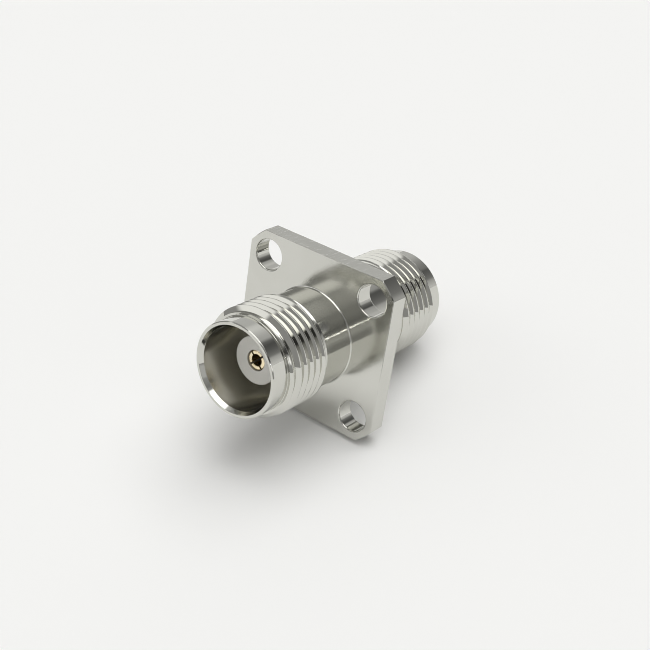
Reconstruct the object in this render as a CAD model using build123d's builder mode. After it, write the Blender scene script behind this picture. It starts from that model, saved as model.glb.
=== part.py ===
from build123d import *
from math import hypot
import os

# Flanged coaxial adapter: a threaded jack on each side of a square four-hole panel flange.
# Millimetres. Y is the coaxial axis: the short jack looks along -Y, the long one along +Y.
# The origin is on the axis in the flange's back face, which seats on the panel.

# Flange, milled square from a round turned blank, so its four corners stay turned
flange_width = 17.5
flange_thickness = 2.0
corner_leg = 1.6
corner_bevel = 0.08
hole_inset = 2.4
hole_diameter = 3.2
hole_edge_break = 0.1

# Jack interface, the same on both sides, from the mouth inwards
mouth_diameter = 8.13
nose_wall = 0.685
rim_bevel = 0.1
mouth_chamfer_rise = 0.25
mouth_chamfer_length = 0.45
lead_in_rise = 0.085
lead_in_length = 0.8
reference_depth = 8.4
nose_length = 2.0
shoulder_height = 0.75
thread_length = 5.1
crest_bevel = 0.12
neck_step = 0.55
run_out_length = 0.55
neck_fillet = 0.15
front_neck_length = 4.3
rear_neck_length = 7.2

# Filled line between the two reference planes, and how its beads are trapped
line_diameter = 7.0
bead_land = 1.5
bead_flange_height = 0.6
bead_flange_thickness = 0.8
spigot_wall = 0.4
spigot_bevel = 0.2
neck_seat_depth = 0.6
stem_diameter = 4.85
stem_recess = 3.1
stem_edge_break = 0.08

# Centre contact, a slotted socket at each end of one rod
socket_diameter = 1.35
socket_wall = 0.355
socket_depth = 4.6
socket_lead = 0.12
contact_recess = 3.2
slot_width = 0.2
slot_length = 3.8
slot_count = 4
collar_height = 0.6
collar_thickness = 1.0

# How closely an edge must match the radius and the station that name it
edge_match = 1e-4

# Clearances, on the radius
spigot_clearance = 0.005
bead_clearance = 0.02
contact_clearance = 0.02

mouth_radius = mouth_diameter / 2
nose_radius = mouth_radius + nose_wall
thread_radius = nose_radius + shoulder_height
neck_radius = thread_radius - neck_step
line_radius = line_diameter / 2
bead_radius = line_radius + bead_flange_height
spigot_radius = bead_radius + spigot_wall
stem_radius = stem_diameter / 2
socket_radius = socket_diameter / 2
contact_radius = socket_radius + socket_wall
collar_radius = contact_radius + collar_height
blank_radius = hypot(flange_width / 2, flange_width / 2 - corner_leg)
hole_spacing = flange_width - 2 * hole_inset

# Stations along the axis
flange_front = -flange_thickness
front_mouth = flange_front - front_neck_length - thread_length - nose_length
rear_mouth = rear_neck_length + thread_length + nose_length
front_plane = front_mouth + reference_depth
rear_plane = rear_mouth - reference_depth
bead_seat = front_plane + bead_land
bead_joint = bead_seat + bead_flange_thickness
spigot_front = bead_joint + bead_flange_thickness
front_face = front_mouth + stem_recess
rear_face = rear_mouth - stem_recess
front_tip = front_mouth + contact_recess
rear_tip = rear_mouth - contact_recess


def jack_outside(mouth, inward):
    """Radius and station of each corner from the rim to the neck.

    inward is the sign of the axis direction that leads away from the mouth.
    """
    shoulder = mouth + inward * nose_length
    run_out = shoulder + inward * thread_length
    return [
        (nose_radius - rim_bevel, mouth),
        (nose_radius, mouth + inward * rim_bevel),
        (nose_radius, shoulder),
        (thread_radius - crest_bevel, shoulder),
        (thread_radius, shoulder + inward * crest_bevel),
        (thread_radius, run_out),
        (neck_radius, run_out + inward * run_out_length),
    ]


def jack_inside(mouth, inward):
    """Radius and station of each corner from the reference plane out to the rim."""
    lead_radius = mouth_radius + lead_in_rise
    return [
        (line_radius, mouth + inward * reference_depth),
        (mouth_radius, mouth + inward * reference_depth),
        (mouth_radius, mouth + inward * (mouth_chamfer_length + lead_in_length)),
        (lead_radius, mouth + inward * mouth_chamfer_length),
        (lead_radius + mouth_chamfer_rise, mouth),
    ]


def circles_at(part, radius, station):
    """The part's circular edges of one radius at one station along the axis."""
    rings = part.edges().filter_by(GeomType.CIRCLE)
    rings = rings.filter_by(lambda ring: abs(ring.radius - radius) < edge_match)
    return rings.filter_by(lambda ring: abs(ring.arc_center.Y - station) < edge_match)


# Main body: front jack, neck and flange turned as one piece, bored out from the back
with BuildPart() as main_body:
    with BuildSketch(Plane.XY):
        with BuildLine():
            Polyline(
                *jack_inside(front_mouth, 1),
                *jack_outside(front_mouth, 1),
                (neck_radius, flange_front),
                (blank_radius - corner_bevel, flange_front),
                (blank_radius, flange_front + corner_bevel),
                (blank_radius, -corner_bevel),
                (blank_radius - corner_bevel, 0),
                (neck_radius + spigot_clearance, 0),
                (neck_radius + spigot_clearance, -neck_seat_depth),
                (spigot_radius + spigot_clearance, -neck_seat_depth),
                (spigot_radius + spigot_clearance, spigot_front),
                (bead_radius + bead_clearance, spigot_front),
                (bead_radius + bead_clearance, bead_seat),
                (line_radius, bead_seat),
                close=True,
            )
        make_face()
    revolve(axis=Axis.Y)
    fillet(circles_at(main_body, neck_radius, flange_front), neck_fillet)
    # The four sides are milled flat, which leaves the blank's bevelled edge at the corners only
    with BuildSketch(Plane.XZ):
        Rectangle(flange_width, flange_width)
    extrude(amount=-front_mouth, both=True, mode=Mode.INTERSECT)
    with BuildSketch(Plane.XZ):
        with GridLocations(hole_spacing, hole_spacing, 2, 2):
            Circle(hole_diameter / 2)
    extrude(amount=flange_thickness, mode=Mode.SUBTRACT)
    front_rims = circles_at(main_body, hole_diameter / 2, flange_front)
    back_rims = circles_at(main_body, hole_diameter / 2, 0)
    chamfer(front_rims + back_rims, hole_edge_break)

# Rear shell: the long jack, its neck seated in the flange's back and its spigot pressed into the main body
with BuildPart() as rear_shell:
    with BuildSketch(Plane.XY):
        with BuildLine():
            Polyline(
                *jack_inside(rear_mouth, -1),
                *jack_outside(rear_mouth, -1),
                (neck_radius, -neck_seat_depth),
                (spigot_radius, -neck_seat_depth),
                (spigot_radius, spigot_front + spigot_bevel),
                (spigot_radius - spigot_bevel, spigot_front),
                (line_radius, spigot_front),
                close=True,
            )
        make_face()
    revolve(axis=Axis.Y)


def bead_outside(face, inward, plane, seat):
    """Radius and station of an insulator's corners from its stem's face to its flange's near side."""
    return [
        (stem_radius - stem_edge_break, face),
        (stem_radius, face + inward * stem_edge_break),
        (stem_radius, plane),
        (line_radius - bead_clearance, plane),
        (line_radius - bead_clearance, seat),
        (bead_radius, seat),
        (bead_radius, bead_joint),
    ]


# Front insulator: stem, filled line, half of the trapped flange and the recess for the contact's collar
with BuildPart() as front_insulator:
    with BuildSketch(Plane.XY):
        with BuildLine():
            Polyline(
                *bead_outside(front_face, 1, front_plane, bead_seat),
                (collar_radius + contact_clearance, bead_joint),
                (collar_radius + contact_clearance, bead_joint - collar_thickness),
                (contact_radius + contact_clearance, bead_joint - collar_thickness),
                (contact_radius + contact_clearance, front_face),
                close=True,
            )
        make_face()
    revolve(axis=Axis.Y)

# Rear insulator: the other half of the flange, a longer filled line and the rear stem
with BuildPart() as rear_insulator:
    with BuildSketch(Plane.XY):
        with BuildLine():
            Polyline(
                *bead_outside(rear_face, -1, rear_plane, spigot_front),
                (contact_radius + contact_clearance, bead_joint),
                (contact_radius + contact_clearance, rear_face),
                close=True,
            )
        make_face()
    revolve(axis=Axis.Y)

# Centre contact: one rod with a collar, bored and slotted into sprung fingers at both ends
with BuildPart() as centre_contact:
    with BuildSketch(Plane.XY):
        with BuildLine():
            Polyline(
                (0, front_tip + socket_depth),
                (socket_radius, front_tip + socket_depth),
                (socket_radius, front_tip + socket_lead),
                (socket_radius + socket_lead, front_tip),
                (contact_radius - socket_lead, front_tip),
                (contact_radius, front_tip + socket_lead),
                (contact_radius, bead_joint - collar_thickness),
                (collar_radius, bead_joint - collar_thickness),
                (collar_radius, bead_joint),
                (contact_radius, bead_joint),
                (contact_radius, rear_tip - socket_lead),
                (contact_radius - socket_lead, rear_tip),
                (socket_radius + socket_lead, rear_tip),
                (socket_radius, rear_tip - socket_lead),
                (socket_radius, rear_tip - socket_depth),
                (0, rear_tip - socket_depth),
                close=True,
            )
        make_face()
    revolve(axis=Axis.Y)
    finger_angle = 360 / slot_count
    for tip, inward in ((front_tip, 1), (rear_tip, -1)):
        with BuildSketch(Plane.XZ.offset(-tip)):
            with PolarLocations(0, slot_count // 2, start_angle=finger_angle / 2, angular_range=180):
                Rectangle(2 * collar_radius, slot_width)
        extrude(amount=-inward * slot_length, mode=Mode.SUBTRACT)

pieces = {
    "main_body": main_body,
    "rear_shell": rear_shell,
    "front_insulator": front_insulator,
    "rear_insulator": rear_insulator,
    "centre_contact": centre_contact,
}
os.makedirs("parts", exist_ok=True)
for name, piece in pieces.items():
    piece.part.label = name
    export_step(piece.part, f"parts/{name}.step")
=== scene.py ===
from math import asin, atan2, cos, pi, radians, sin, sqrt, tan

import bmesh
import bpy
import numpy as np
from mathutils import Matrix, Vector


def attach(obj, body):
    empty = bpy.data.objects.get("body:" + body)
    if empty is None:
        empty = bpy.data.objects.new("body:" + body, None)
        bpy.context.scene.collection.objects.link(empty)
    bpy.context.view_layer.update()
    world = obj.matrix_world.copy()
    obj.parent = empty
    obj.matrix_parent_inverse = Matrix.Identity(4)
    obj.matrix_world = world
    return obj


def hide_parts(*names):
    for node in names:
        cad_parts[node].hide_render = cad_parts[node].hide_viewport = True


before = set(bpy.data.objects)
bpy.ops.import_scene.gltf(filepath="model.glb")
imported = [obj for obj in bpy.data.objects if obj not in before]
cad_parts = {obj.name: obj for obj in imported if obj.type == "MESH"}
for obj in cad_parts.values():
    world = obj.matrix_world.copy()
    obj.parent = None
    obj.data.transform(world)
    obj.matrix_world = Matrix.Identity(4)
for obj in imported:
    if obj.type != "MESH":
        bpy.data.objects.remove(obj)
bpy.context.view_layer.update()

# Millimetres below, metres in Blender. Y is the coaxial axis, and the flange's back face is at 0.
MM = 0.001

# Flange
FLANGE_HALF = 8.75
FLANGE_THICK = 2.0
BLANK_RADIUS = 11.3
CORNER_BEVEL = 0.08
EDGE_BREAK = 0.06
HOLE_INSET = 2.4
HOLE_PLACE = FLANGE_HALF - HOLE_INSET
HOLE_RADIUS = 1.6
HOLE_BREAK = 0.14

# Jacks, from the mouth inwards
FRONT_MOUTH = -13.4
REAR_MOUTH = 14.3
NOSE_RADIUS = 4.75
BORE_RADIUS = 4.065
RIM_BEVEL = 0.1
CHAMFER_RISE = 0.25
CHAMFER_LENGTH = 0.45
LEAD_IN_RISE = 0.085
LEAD_IN_LENGTH = 0.8
REFERENCE_DEPTH = 8.4
NOSE_LENGTH = 2.0
NECK_RADIUS = 4.95
NECK_FILLET = 0.15

# Thread, 7/16-28 and right-handed, and where one crest of each jack lies
THREAD_LENGTH = 5.1
THREAD_RADIUS = 5.5
SHOULDER_RADIUS = 5.0
RUN_OUT = 0.55
PITCH = 25.4 / 28
ROOT_RADIUS = 5.0
CREST_HALF = 0.07
FLANK_ANGLE = radians(30)
FRONT_CREST = -11.2047
REAR_CREST = 11.9
SPARE_TURNS = 3

# Joint inside: the two beads' flanges lie between a seat in the main body and the rear piece's spigot
LINE_RADIUS = 3.5
BEAD_RADIUS = 4.1
BEAD_LAND = 1.5
BEAD_FLANGE = 0.8
BEAD_SEAT = FRONT_MOUTH + REFERENCE_DEPTH + BEAD_LAND
BEAD_JOINT = BEAD_SEAT + BEAD_FLANGE
SPIGOT_END = BEAD_JOINT + BEAD_FLANGE
SPIGOT_RADIUS = 4.5
SPIGOT_BEVEL = 0.2
NECK_SEAT = -0.6
SPIGOT_CLEARANCE = 0.005
BEAD_CLEARANCE = 0.02

# Stems and centre contact
STEM_RADIUS = 2.425
STEM_RECESS = 3.1
CONTACT_RADIUS = 1.03
CONTACT_CLEARANCE = 0.02
SOCKET_RADIUS = 0.675
CONTACT_RECESS = 3.2
SLOT_HALF = 0.1
FINGERS = 4
FINGERS_CLOSED = 0.09
SLOT_LENGTH = 3.8
SOCKET_DEPTH = 4.6
COLLAR_RADIUS = 1.63
COLLAR_THICK = 1.0
COLLAR_FRONT = BEAD_JOINT - COLLAR_THICK

# How finely curves are cut
ROUND = 360
ROD_ROUND = 96
FINGER_STEPS = 24
LONG_EDGE = 3.0
LONG_EDGE_STEPS = 24
SHORT_EDGE_STEPS = 10

# In metres, how close points are welded and how short an edge is dropped
WELD = 1e-7
SLIVER = 1e-8


# shapes


def turn_angles(count):
    """Angles of one full turn in count steps, first and last alike."""
    return [2 * pi * j / count for j in range(count + 1)]


def eased(corners, steps=4, support=0.02):
    """Corners (radius, station, rounding) of a turned profile as a line of points with round edges.

    A point close to each end of a round edge keeps the long faces beside it flat.
    """
    line = []
    for k, (r, y, rounding) in enumerate(corners):
        here = Vector((r, y))
        if not rounding or k in (0, len(corners) - 1):
            line.append((r, y))
            continue
        before = (Vector(corners[k - 1][:2]) - here).normalized()
        after = (Vector(corners[k + 1][:2]) - here).normalized()
        half = before.angle(after) / 2
        reach = rounding / tan(half)
        centre = here + (before + after).normalized() * (rounding / sin(half))
        start, end = here + before * reach, here + after * reach
        line.append(tuple(start + before * support))
        first, last = start - centre, end - centre
        turn = first.angle_signed(last)
        for j in range(steps + 1):
            line.append(tuple(centre + first @ Matrix.Rotation(turn * j / steps, 2)))
        line.append(tuple(end + after * support))
    return line


def mesh_piece(name, points, faces, node, finish, sharp=32):
    """A mesh piece from points in millimetres, welded, with edges sharper than the limit kept crisp.

    Its own Z is the coaxial axis, so that a brushed finish runs round the part.
    """
    mesh = bpy.data.meshes.new(name)
    mesh.from_pydata([(x * MM, -z * MM, y * MM) for x, y, z in points], [], faces)
    shape = bmesh.new()
    shape.from_mesh(mesh)
    bmesh.ops.remove_doubles(shape, verts=shape.verts, dist=WELD)
    bmesh.ops.dissolve_degenerate(shape, edges=shape.edges, dist=SLIVER)
    bmesh.ops.recalc_face_normals(shape, faces=shape.faces)
    shape.to_mesh(mesh)
    shape.free()
    mesh.shade_smooth()
    mesh.set_sharp_from_angle(angle=radians(sharp))
    piece = bpy.data.objects.new(name, mesh)
    bpy.context.scene.collection.objects.link(piece)
    piece.rotation_euler.x = -pi / 2
    piece.data.materials.append(finish)
    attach(piece, "root")
    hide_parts(node)


def around(column, angles, base=0):
    """Points and faces of a surface that has one column of (radius, station) at each angle about Y.

    base is the number of points that the mesh has before these.
    """
    points, faces = [], []
    for a in angles:
        points += [(r * cos(a), y, r * sin(a)) for r, y in column(a)]
    rows = len(points) // len(angles)
    for j in range(len(angles) - 1):
        for i in range(rows - 1):
            p = base + j * rows + i
            faces.append((p, p + 1, p + rows + 1, p + rows))
    return points, faces


def bridge(points, faces, loops):
    """Joins each loop to the next, of the same count, with a band of faces."""
    for first, second in zip(loops, loops[1:]):
        base, n = len(points), len(first)
        points += first + second
        for j in range(n):
            k = (j + 1) % n
            faces.append((base + j, base + k, base + n + k, base + n + j))


# the thread


def one_thread():
    """Offsets along the axis from a crest's middle, and heights from 0 at the root to 1 at the crest.

    The crest's edges and the root's are eased by rows close to them.
    """
    run = (THREAD_RADIUS - ROOT_RADIUS) * tan(FLANK_ANGLE)
    crest_edge, flank_drop = 0.985, 0.95
    root_edge, root_reach = 0.012, 0.03
    half = [(0.0, 1.0), (0.6 * CREST_HALF, 1.0), (CREST_HALF, crest_edge)]
    half += [(CREST_HALF + run * t, crest_edge - flank_drop * t) for t in (0.06, 0.12, 0.88)]
    half += [(CREST_HALF + run, root_edge), (CREST_HALF + run + root_reach, 0.0)]
    return [(-d, h) for d, h in reversed(half[1:])] + half


THREAD_ROWS = one_thread()


def thread_column(angle, start, inward, crest_at):
    """Rows of the threaded length at one angle, from the shoulder at start to the end of the run-out.

    crest_at is the station of a crest's middle at angle 0. The rows follow the helix, and both ends are cut
    square. The crest rises from the shoulder at 45 degrees and falls to the neck at 45 degrees.
    """
    stop = start + inward * (THREAD_LENGTH + RUN_OUT)
    low, high = min(start, stop), max(start, stop)
    helix = crest_at - PITCH * angle / (2 * pi)
    first = int((low - helix) / PITCH) - SPARE_TURNS
    count = int((high - low) / PITCH) + 2 * SPARE_TURNS
    rows = []
    for k in range(count):
        rows += [(helix + (first + k) * PITCH + d, h) for d, h in THREAD_ROWS]
    stations = [y for y, _ in rows]
    heights = [h for _, h in rows]
    column = []
    for y, h in rows:
        if not low <= y <= high:
            y = min(max(y, low), high)
            h = float(np.interp(y, stations, heights))
        depth_in = abs(y - start)
        rising = SHOULDER_RADIUS + depth_in
        falling = THREAD_RADIUS - (depth_in - THREAD_LENGTH)
        crest = max(min(THREAD_RADIUS, rising, falling), NECK_RADIUS)
        root = min(ROOT_RADIUS, crest)
        column.append((root + (crest - root) * h, y))
    return column if inward > 0 else column[::-1]


# finishes


class Shade:
    """A socket of a material's or world's nodes. Arithmetic on it adds Math nodes."""

    def __init__(self, tree, socket=None):
        self.tree, self.socket = tree, socket

    def node(self, kind, settings=None, out=0, **sockets):
        """Any node: its settings first, then the values or links of its sockets, by name or by _number."""
        made = self.tree.nodes.new(kind)
        for key, value in (settings or {}).items():
            setattr(made, key, value)
        for key, value in sockets.items():
            name = int(key[1:]) if key[1:].isdigit() else key.replace("_", " ")
            plug = made.inputs[name]
            if isinstance(value, Shade):
                self.tree.links.new(value.socket, plug)
            else:
                plug.default_value = value
        return Shade(self.tree, made.outputs[out])

    def math(self, operation, *values):
        sockets = {f"_{k}": value for k, value in enumerate(values)}
        return self.node("ShaderNodeMath", {"operation": operation}, **sockets)

    def __add__(self, other):
        return self.math("ADD", self, other)

    def __sub__(self, other):
        return self.math("SUBTRACT", self, other)

    def __rsub__(self, other):
        return self.math("SUBTRACT", other, self)

    def __mul__(self, other):
        return self.math("MULTIPLY", self, other)

    def __truediv__(self, other):
        return self.math("DIVIDE", self, other)

    def __rtruediv__(self, other):
        return self.math("DIVIDE", other, self)

    def __pow__(self, other):
        return self.math("POWER", self, other)

    def __rpow__(self, other):
        return self.math("POWER", other, self)

    __radd__, __rmul__ = __add__, __mul__

    def __abs__(self):
        return self.math("ABSOLUTE", self)

    def max(self, other):
        return self.math("MAXIMUM", self, other)

    def ramp(self, low, high):
        """0 below low and 1 above high, eased between."""
        smooth = {"interpolation_type": "SMOOTHSTEP"}
        return self.node("ShaderNodeMapRange", smooth, Value=self, _1=low, _2=high)

    def blend(self, first, second):
        """One colour turning into another as this value goes from 0 to 1."""
        return self.node("ShaderNodeMix", {"data_type": "RGBA"}, out=2, _0=self, _6=first, _7=second)

    def split(self):
        """The three parts of a vector."""
        separate = self.node("ShaderNodeSeparateXYZ", Vector=self).socket.node
        return [Shade(self.tree, part) for part in separate.outputs]

    def show(self, output="ShaderNodeOutputMaterial"):
        """Makes this shader what the material or world shows."""
        end = self.tree.nodes.new(output)
        self.tree.links.new(self.socket, end.inputs["Surface"])


def empty_nodes(owner):
    """Clears a material's or world's nodes and gives a start to build on."""
    owner.use_nodes = True
    owner.node_tree.nodes.clear()
    return Shade(owner.node_tree)


def new_finish(name):
    """An empty material and the start of its nodes."""
    finish = bpy.data.materials.new(name)
    return finish, empty_nodes(finish)


def object_place(start):
    """Place in the piece's own frame, in metres, whose Z is the coaxial axis."""
    return start.node("ShaderNodeTexCoord", out="Object")


def turned_place(start):
    """Place on the part in millimetres along its own axes, and the radius about the coaxial one."""
    x, z, y = (part * (1 / MM) for part in object_place(start).split())
    return x, y, z, (x * x + z * z) ** 0.5


def noise(start, scale, detail):
    """Cloudy noise over the piece, with its scale per metre."""
    return start.node("ShaderNodeTexNoise", Vector=object_place(start), Scale=scale, Detail=detail)


def line_noise(start, along, detail):
    """Noise that changes along one length only, as turning marks do."""
    return start.node("ShaderNodeTexNoise", {"noise_dimensions": "1D"}, W=along, Scale=1.0, Detail=detail)


def nickel_plate():
    """Bright plate over turned metal: smooth outside, duller on the neck and flange, dull in the bore, with
    painted light in the bore's paler colour.
    """
    finish, start = new_finish("bright_nickel")
    x, y, z, radius = turned_place(start)

    # Masks of the places that differ: bore, drilled holes, the flange's milled sides, its corners, neck
    bore = 1.0 - radius.ramp(BORE_RADIUS + 0.08, BORE_RADIUS + 0.12)
    from_hole = ((abs(x) - HOLE_PLACE) ** 2 + (abs(z) - HOLE_PLACE) ** 2) ** 0.5
    drilled = (HOLE_RADIUS + 0.02 - from_hole).ramp(-0.02, 0.0)
    side = abs(x).max(abs(z)).ramp(FLANGE_HALF - 0.01, FLANGE_HALF - 0.005)
    corner = radius.ramp(BLANK_RADIUS - 0.1, BLANK_RADIUS - 0.08)
    neck_middle, neck_reach = -2.5, 3.7
    along_neck = 1.0 - abs(y - neck_middle).ramp(neck_reach - 0.1, neck_reach + 0.1)
    neck = along_neck * (1.0 - drilled) * (1.0 - side * 0.5) * (1.0 - corner)

    # The lathe's marks run round the axis, and the cutter's lie in sweeps over the milled sides
    lathe = line_noise(start, (y + radius * 1.3) * 9.0, detail=3.0)
    swept = start.node("ShaderNodeCombineXYZ", X=(x + z) * 2.2, Y=y * 0.7, Z=(x - z) * 0.3)
    cutter = start.node("ShaderNodeTexNoise", Vector=swept, Scale=1.0, Detail=4.0).ramp(0.4, 0.65)
    lathe_depth, cutter_depth = 0.1, 1.5
    turned = lathe * (neck + bore) * (1.0 - side)
    milled = cutter * side * (1.0 - corner)
    marks = turned * lathe_depth + milled * cutter_depth

    cloud = noise(start, scale=260.0, detail=3.0)
    plate = cloud.ramp(0.35, 0.7).blend((0.62, 0.618, 0.575, 1), (0.64, 0.638, 0.597, 1))
    # Painted light: the bore's base colour is paler and warmer than the plate's, so that the shaded bore
    # looks lit.
    metal = start.node(
        "ShaderNodeBsdfPrincipled",
        Base_Color=bore.blend(plate, (0.74, 0.725, 0.655, 1)),
        Metallic=1.0,
        Roughness=0.03 + cloud * 0.02 + neck * 0.08 + bore * 0.17,
        Anisotropic=0.85,
        Anisotropic_Rotation=0.25,
        Normal=start.node("ShaderNodeBump", Strength=1.0, Distance=0.00001, Height=marks),
    )
    metal.show()
    return finish


def white_fluoropolymer():
    """Satin white bead with fine turning rings, and painted shade that makes it near black inside the
    contact's hole.
    """
    finish, start = new_finish("white_fluoropolymer")
    _, y, _, radius = turned_place(start)
    rings = line_noise(start, (y + radius) * 14.0, detail=2.0)
    cloud = noise(start, scale=500.0, detail=2.0)
    face = cloud.blend((0.74, 0.73, 0.69, 1), (0.78, 0.77, 0.73, 1))
    # Painted shade: inside the contact's hole the bead's colour is near black, standing in for the shade in
    # that deep bore.
    outside_painted_hole_shade = radius.ramp(CONTACT_RADIUS, CONTACT_RADIUS + 0.04)
    plastic = start.node(
        "ShaderNodeBsdfPrincipled",
        Base_Color=outside_painted_hole_shade.blend((0.12, 0.11, 0.10, 1), face),
        Roughness=0.38 + rings * 0.1,
        Normal=start.node("ShaderNodeBump", Strength=0.2, Distance=0.00002, Height=rings),
    )
    plastic.show()
    return finish


def gold_plate():
    """Pale gold over the contact, a little uneven."""
    finish, start = new_finish("gold_plate")
    cloud = noise(start, scale=900.0, detail=2.0)
    metal = start.node(
        "ShaderNodeBsdfPrincipled",
        Base_Color=cloud.blend((0.92, 0.78, 0.52, 1), (0.97, 0.87, 0.64, 1)),
        Metallic=1.0,
        Roughness=0.20 + cloud * 0.08,
    )
    metal.show()
    return finish


nickel = nickel_plate()
fluoropolymer = white_fluoropolymer()
gold = gold_plate()


# the jacks and the flange


def jack_mouth(mouth, inward):
    """Profile corners from the reference plane out of the mouth and over the rim to the shoulder."""
    lead_radius = BORE_RADIUS + LEAD_IN_RISE
    return [
        (LINE_RADIUS, mouth + inward * REFERENCE_DEPTH, 0.03),
        (BORE_RADIUS, mouth + inward * REFERENCE_DEPTH, 0.05),
        (BORE_RADIUS, mouth + inward * (CHAMFER_LENGTH + LEAD_IN_LENGTH), 0),
        (lead_radius, mouth + inward * CHAMFER_LENGTH, 0.02),
        (lead_radius + CHAMFER_RISE, mouth, 0.03),
        (NOSE_RADIUS - RIM_BEVEL, mouth, 0.03),
        (NOSE_RADIUS, mouth + inward * RIM_BEVEL, 0.03),
        (NOSE_RADIUS, mouth + inward * NOSE_LENGTH, 0.05),
    ]


def jack(inside, mouth, inward, crest_at, after):
    """Turned surface of one jack: its inside, mouth, nose and thread, then the points after the run-out."""
    shoulder = mouth + inward * NOSE_LENGTH
    before = eased(inside + jack_mouth(mouth, inward) + [(SHOULDER_RADIUS, shoulder, 0)])[:-1]

    def column(angle):
        return before + thread_column(angle, shoulder, inward, crest_at) + after

    return around(column, turn_angles(ROUND))


def outline(half, radius, y, steps=10):
    """A square's outline whose corners are arcs about the axis, as points at one station."""
    loop = []
    reach = sqrt(radius**2 - half**2)
    swing = pi / 4 - atan2(reach, half)
    for corner in range(4):
        middle = pi / 4 + corner * pi / 2
        for j in range(steps + 1):
            a = middle - swing + 2 * swing * j / steps
            loop.append((radius * cos(a), y, radius * sin(a)))
    return loop


def flange_rim(points, faces):
    """The flange's four sides and turned corners, with their broken edges."""
    bevel = BLANK_RADIUS - CORNER_BEVEL
    loops = [
        outline(FLANGE_HALF - EDGE_BREAK, bevel, -FLANGE_THICK),
        outline(FLANGE_HALF, bevel + EDGE_BREAK, -FLANGE_THICK + EDGE_BREAK),
        outline(FLANGE_HALF, BLANK_RADIUS, -FLANGE_THICK + CORNER_BEVEL),
        outline(FLANGE_HALF, BLANK_RADIUS, -CORNER_BEVEL),
        outline(FLANGE_HALF, bevel + EDGE_BREAK, -EDGE_BREAK),
        outline(FLANGE_HALF - EDGE_BREAK, bevel, 0),
    ]
    bridge(points, faces, loops)


def quarter_edge(hub, radius, half):
    """Points (x, z) round one quarter of a flange face: two cuts, the outline's corner and the hub's arc."""
    reach = sqrt(radius**2 - half**2)
    corners = [(0, hub), (0, half), (reach, half), (half, reach), (half, 0), (hub, 0)]
    loop = []
    for (x, z), (x2, z2) in zip(corners, corners[1:]):
        steps = LONG_EDGE_STEPS if abs(x2 - x) + abs(z2 - z) > LONG_EDGE else SHORT_EDGE_STEPS
        for j in range(steps):
            t = j / steps
            u, v = x + (x2 - x) * t, z + (z2 - z) * t
            if x2 == half and z == half:
                stretch = radius / sqrt(u * u + v * v)
                u, v = u * stretch, v * stretch
            loop.append((u, v))
    arc = turn_angles(ROUND)[: ROUND // 4]
    return loop + [(hub * cos(a), hub * sin(a)) for a in arc]


def flange_quarter(points, faces, hub, back_hub, turn):
    """One quarter of both flange faces, bridged from the face's edge to the rim of its drilled hole."""
    half, radius = FLANGE_HALF - EDGE_BREAK, BLANK_RADIUS - CORNER_BEVEL
    edge = quarter_edge(hub, radius, half)
    back_edge = quarter_edge(back_hub, radius, half)
    angles = [atan2(z - HOLE_PLACE, x - HOLE_PLACE) for x, z in edge]
    support = HOLE_BREAK + 0.03
    lip = [(HOLE_BREAK * (1 - sin(t)), HOLE_BREAK * (1 - cos(t))) for t in (0, 0.4, 0.8, 1.2, pi / 2)]
    lip = [(support, 0.0), *lip, (0.0, support)]

    def placed(plane_points, y):
        return [(x * cos(turn) - z * sin(turn), y, x * sin(turn) + z * cos(turn)) for x, z in plane_points]

    def ring(r, y):
        return placed([(HOLE_PLACE + r * cos(a), HOLE_PLACE + r * sin(a)) for a in angles], y)

    loops = [placed(edge, -FLANGE_THICK)]
    loops += [ring(HOLE_RADIUS + out, -FLANGE_THICK + deep) for out, deep in lip]
    loops += [ring(HOLE_RADIUS + out, -deep) for out, deep in reversed(lip)]
    loops.append(placed(back_edge, 0))
    bridge(points, faces, loops)


def main_body():
    """Front jack, neck and flange: a turned surface, the flange's rim, its two faces and its holes."""
    counterbore = NECK_RADIUS + SPIGOT_CLEARANCE
    spigot_bore = SPIGOT_RADIUS + SPIGOT_CLEARANCE
    bead_bore = BEAD_RADIUS + BEAD_CLEARANCE
    inside = [
        (counterbore, 0, 0),
        (counterbore, NECK_SEAT, 0),
        (spigot_bore, NECK_SEAT, 0),
        (spigot_bore, SPIGOT_END, 0),
        (bead_bore, SPIGOT_END, 0),
        (bead_bore, BEAD_SEAT, 0),
        (LINE_RADIUS, BEAD_SEAT, 0),
    ]
    # The last corner only gives the fillet its direction, because the flange's faces start at its edge
    neck = [
        (NECK_RADIUS, FRONT_MOUTH + NOSE_LENGTH + THREAD_LENGTH + RUN_OUT, 0),
        (NECK_RADIUS, -FLANGE_THICK, NECK_FILLET),
        (NECK_RADIUS + 1, -FLANGE_THICK, 0),
    ]
    after = eased(neck, steps=6)[1:-1]
    hub = after[-1][0]
    points, faces = jack(inside, FRONT_MOUTH, 1, FRONT_CREST, after)
    flange_rim(points, faces)
    for quarter in range(4):
        flange_quarter(points, faces, hub, counterbore, quarter * pi / 2)
    mesh_piece("flange_and_front_jack", points, faces, "main_body", nickel)


def rear_shell():
    """The long jack behind the flange, from its spigot's end to its neck."""
    inside = [
        (SPIGOT_RADIUS, NECK_SEAT, 0),
        (SPIGOT_RADIUS, SPIGOT_END + SPIGOT_BEVEL, 0),
        (SPIGOT_RADIUS - SPIGOT_BEVEL, SPIGOT_END, 0),
        (LINE_RADIUS, SPIGOT_END, 0),
    ]
    after = [(NECK_RADIUS, NECK_SEAT), (SPIGOT_RADIUS, NECK_SEAT)]
    points, faces = jack(inside, REAR_MOUTH, -1, REAR_CREST, after)
    mesh_piece("rear_jack", points, faces, "rear_shell", nickel)


# the beads


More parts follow.
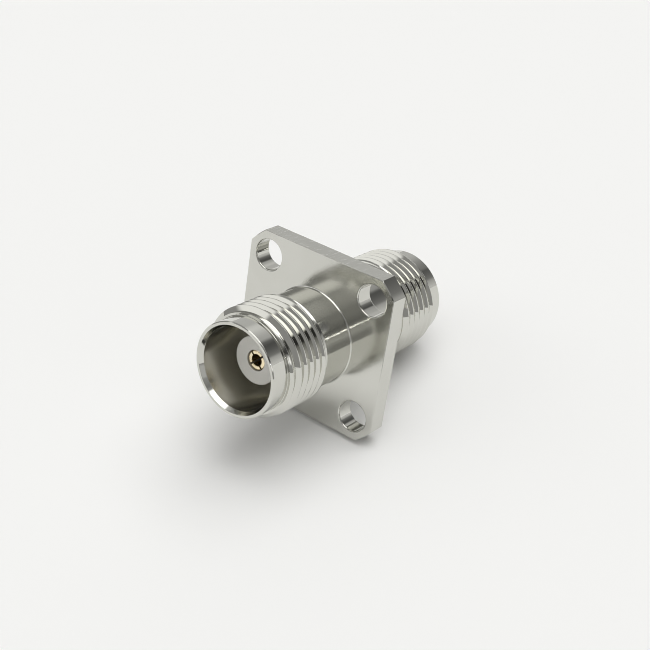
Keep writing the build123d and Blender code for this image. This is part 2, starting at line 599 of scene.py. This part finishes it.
def stem(mouth, inward, seat):
    """Profile corners of a bead from the lip of its bore over the stem and the filled line to its flange."""
    face, plane = mouth + inward * STEM_RECESS, mouth + inward * REFERENCE_DEPTH
    return [
        (CONTACT_RADIUS + CONTACT_CLEARANCE, face, 0.04),
        (STEM_RADIUS, face, 0.08),
        (STEM_RADIUS, plane, 0),
        (LINE_RADIUS - BEAD_CLEARANCE, plane, 0),
        (LINE_RADIUS - BEAD_CLEARANCE, seat, 0),
        (BEAD_RADIUS, seat, 0),
        (BEAD_RADIUS, BEAD_JOINT, 0),
    ]


def insulator(name, node, corners):
    """A turned bead from its profile's corners, which start and end at a seam in its bore."""
    line = eased(corners, steps=3)
    points, faces = around(lambda angle: line, turn_angles(ROUND))
    mesh_piece(name, points, faces, node, fluoropolymer)


def front_insulator():
    """The front bead, with the recess for the contact's collar."""
    bore, recess = CONTACT_RADIUS + CONTACT_CLEARANCE, COLLAR_RADIUS + CONTACT_CLEARANCE
    seam = (bore, -6.0, 0)
    collar_recess = [(recess, BEAD_JOINT, 0), (recess, COLLAR_FRONT, 0), (bore, COLLAR_FRONT, 0)]
    corners = [seam, *stem(FRONT_MOUTH, 1, BEAD_SEAT), *collar_recess, seam]
    insulator("front_bead", "front_insulator", corners)


def rear_insulator():
    """The rear bead, with the longer filled line and no recess."""
    bore = CONTACT_RADIUS + CONTACT_CLEARANCE
    seam = (bore, 2.0, 0)
    corners = [seam, *stem(REAR_MOUTH, -1, SPIGOT_END), (bore, BEAD_JOINT, 0), seam]
    insulator("rear_bead", "rear_insulator", corners)


# the centre contact


def finger(points, faces, profile, middle):
    """One sprung finger: the profile swept about the axis between the flat sides of two slots."""
    base, rows = len(points), len(profile)
    for j in range(FINGER_STEPS + 1):
        for r, y in profile:
            half = pi / FINGERS - asin(SLOT_HALF / r)
            a = middle - half + 2 * half * j / FINGER_STEPS
            points.append((r * cos(a), y, r * sin(a)))
    for j in range(FINGER_STEPS):
        for i in range(rows):
            p, q = base + j * rows + i, base + j * rows + (i + 1) % rows
            faces.append((p, q, q + rows, p + rows))
    faces.append(tuple(base + i for i in range(rows)))
    faces.append(tuple(base + FINGER_STEPS * rows + i for i in reversed(range(rows))))


def slotted_socket(points, faces, tip, root):
    """The fingers of one end, a little closed at their tips."""
    corners = [
        (SOCKET_RADIUS, root, 0),
        (SOCKET_RADIUS - FINGERS_CLOSED, tip, 0.07),
        (CONTACT_RADIUS, tip, 0.18),
        (CONTACT_RADIUS, root, 0),
    ]
    profile = eased(corners, steps=5, support=0.01)
    for k in range(FINGERS):
        finger(points, faces, profile, 2 * pi * k / FINGERS)


def centre_contact():
    """One rod with a collar and, at each end, four fingers with flat slots between them."""
    points, faces = [], []
    front_tip, rear_tip = FRONT_MOUTH + CONTACT_RECESS, REAR_MOUTH - CONTACT_RECESS
    front_root, rear_root = front_tip + SLOT_LENGTH, rear_tip - SLOT_LENGTH
    slotted_socket(points, faces, front_tip, front_root)
    slotted_socket(points, faces, rear_tip, rear_root)
    rod = [
        (0, front_tip + SOCKET_DEPTH),
        (SOCKET_RADIUS, front_tip + SOCKET_DEPTH),
        (SOCKET_RADIUS, front_root),
        (CONTACT_RADIUS, front_root),
        (CONTACT_RADIUS, COLLAR_FRONT),
        (COLLAR_RADIUS, COLLAR_FRONT),
        (COLLAR_RADIUS, BEAD_JOINT),
        (CONTACT_RADIUS, BEAD_JOINT),
        (CONTACT_RADIUS, rear_root),
        (SOCKET_RADIUS, rear_root),
        (SOCKET_RADIUS, rear_tip - SOCKET_DEPTH),
        (0, rear_tip - SOCKET_DEPTH),
    ]
    rod_points, rod_faces = around(lambda angle: rod, turn_angles(ROD_ROUND), base=len(points))
    points += rod_points
    faces += rod_faces
    mesh_piece("gold_contact", points, faces, "centre_contact", gold)


main_body()
rear_shell()
front_insulator()
rear_insulator()
centre_contact()


# camera


def heading(azimuth, elevation):
    """Unit vector of a direction in degrees: azimuth from -Y towards +X, elevation above the XY plane."""
    a, e = radians(azimuth), radians(elevation)
    return Vector((sin(a) * cos(e), -cos(a) * cos(e), sin(e)))


def photo_camera():
    """The camera of the photograph, found from the flange, the holes and the round edges."""
    azimuth, elevation, roll = 33.733, 26.36, radians(-8.865)
    distance, slide_right, slide_down = 120.432, -1.457, 1.013
    focal_pixels, photo_width, sensor = 1219.967, 650, 36.0
    aim = Vector((0, -FLANGE_THICK, 0))
    back = heading(azimuth, elevation)
    level = Vector((0, 0, 1)).cross(back).normalized()
    below = level.cross(back).normalized()
    right = cos(roll) * level + sin(roll) * below
    down = -sin(roll) * level + cos(roll) * below
    place = aim + back * distance - right * slide_right - down * slide_down
    lens = bpy.data.cameras.new("camera")
    lens.sensor_width = sensor
    lens.lens = sensor * focal_pixels / photo_width
    lens.clip_start = 0.005
    lens.clip_end = 50.0
    camera = bpy.data.objects.new("camera", lens)
    turn = Matrix((right, -down, back)).transposed().to_4x4()
    camera.matrix_world = Matrix.Translation(place * MM) @ turn
    bpy.context.scene.collection.objects.link(camera)
    bpy.context.scene.camera = camera


photo_camera()


# floor and light


def floor():
    """A pale plane, seen from above only, that slopes from under the flange to under the rear thread."""
    finish, start = new_finish("pale_floor")
    shade = start.node("ShaderNodeBsdfDiffuse", Color=(0.93, 0.93, 0.925, 1))
    clear = start.node("ShaderNodeBsdfTransparent")
    under = start.node("ShaderNodeNewGeometry", out="Backfacing")
    start.node("ShaderNodeMixShader", _0=under, _1=shade, _2=clear).show()
    half_size, thread_start, gap = 4.0, 0.1, 0.02
    corners = [(x * half_size, y * half_size, 0) for x, y in ((-1, -1), (1, -1), (1, 1), (-1, 1))]
    mesh = bpy.data.meshes.new("floor")
    mesh.from_pydata(corners, [], [(0, 1, 2, 3)])
    plane = bpy.data.objects.new("floor", mesh)
    plane.data.materials.append(finish)
    plane.rotation_euler.x = atan2(FLANGE_HALF - THREAD_RADIUS, REAR_MOUTH - NOSE_LENGTH - thread_start)
    plane.location.z = -(FLANGE_HALF + gap) * MM
    bpy.context.scene.collection.objects.link(plane)


# Strength, then azimuth, elevation, half width, half height and soft edge in degrees, as heading gives them
DARK_CARDS = (
    (0.38, 152, 32, 13, 8, 2),  # behind on the right
    (0.75, 100, 44, 22, 11, 3),  # high on the right
    (0.8, 44, 25, 6, 7, 2),  # in front on the right
)
SOFT_BOXES = (
    (0.2, 82, 14, 14, 14, 3),  # low on the right
    (1.95, 75, 83, 28, 25, 4),  # overhead
    (0.8, -45, 24, 22, 12, 3),  # in front on the left
    (1.0, 5, 52, 18, 7, 2),  # high in front
    (0.35, -170, 45, 18, 6, 4),  # high behind
    (1.0, 50, 10, 5, 6, 3),  # low in front on the right
    (0.25, 41, 3, 2, 5, 2),  # under that one
    (60.0, 40, 12.5, 0.6, 0.6, 0.2),  # a small bright lamp in front on the right
)


def studio():
    """The room as soft light from every side: pale behind, darker in front, with soft boxes."""
    world = bpy.data.worlds.new("studio")
    bpy.context.scene.world = world
    start = empty_nodes(world)
    x, y, z = start.node("ShaderNodeTexCoord", out="Generated").split()

    def along(axis):
        return x * axis.x + y * axis.y + z * axis.z

    def soft_box(azimuth, elevation, half_width, half_height, edge):
        """1 inside a rectangle of the given half angles in degrees, fading to 0 over its edge."""
        out = heading(azimuth, elevation)
        side = Vector((0, 0, 1)).cross(out).normalized()
        ahead = along(out)
        inside = ahead.ramp(0.0, 0.05)
        for axis, half in ((side, half_width), (out.cross(side), half_height)):
            reach = abs(along(axis) / ahead)
            inside = inside * (1.0 - reach.ramp(tan(radians(half - edge)), tan(radians(half + edge))))
        return inside

    front, ceiling = 0.34, 0.7
    behind = y.ramp(-0.10, 0.35)
    right = x.ramp(-0.45, 0.15)
    high = z.ramp(0.80, 0.95)
    back_right = 0.80 - 0.64 * z.ramp(0.10, 0.64)
    back_left = 0.68 - 0.08 * z.ramp(0.0, 0.3)
    back = right * back_right + (1.0 - right) * back_left
    room = behind * back + (1.0 - behind) * front
    room = room * (1.0 - high) + high * ceiling
    for share, *box in DARK_CARDS:
        room = room * (1.0 - share * soft_box(*box))
    for strength, *box in SOFT_BOXES:
        room = room + strength * soft_box(*box)
    light = start.node("ShaderNodeBackground", Color=(1.0, 0.998, 0.985, 1), Strength=room)
    light.show("ShaderNodeOutputWorld")


floor()
studio()

scene = bpy.context.scene
scene.view_settings.view_transform = "Standard"
scene.cycles.filter_width = 1.0
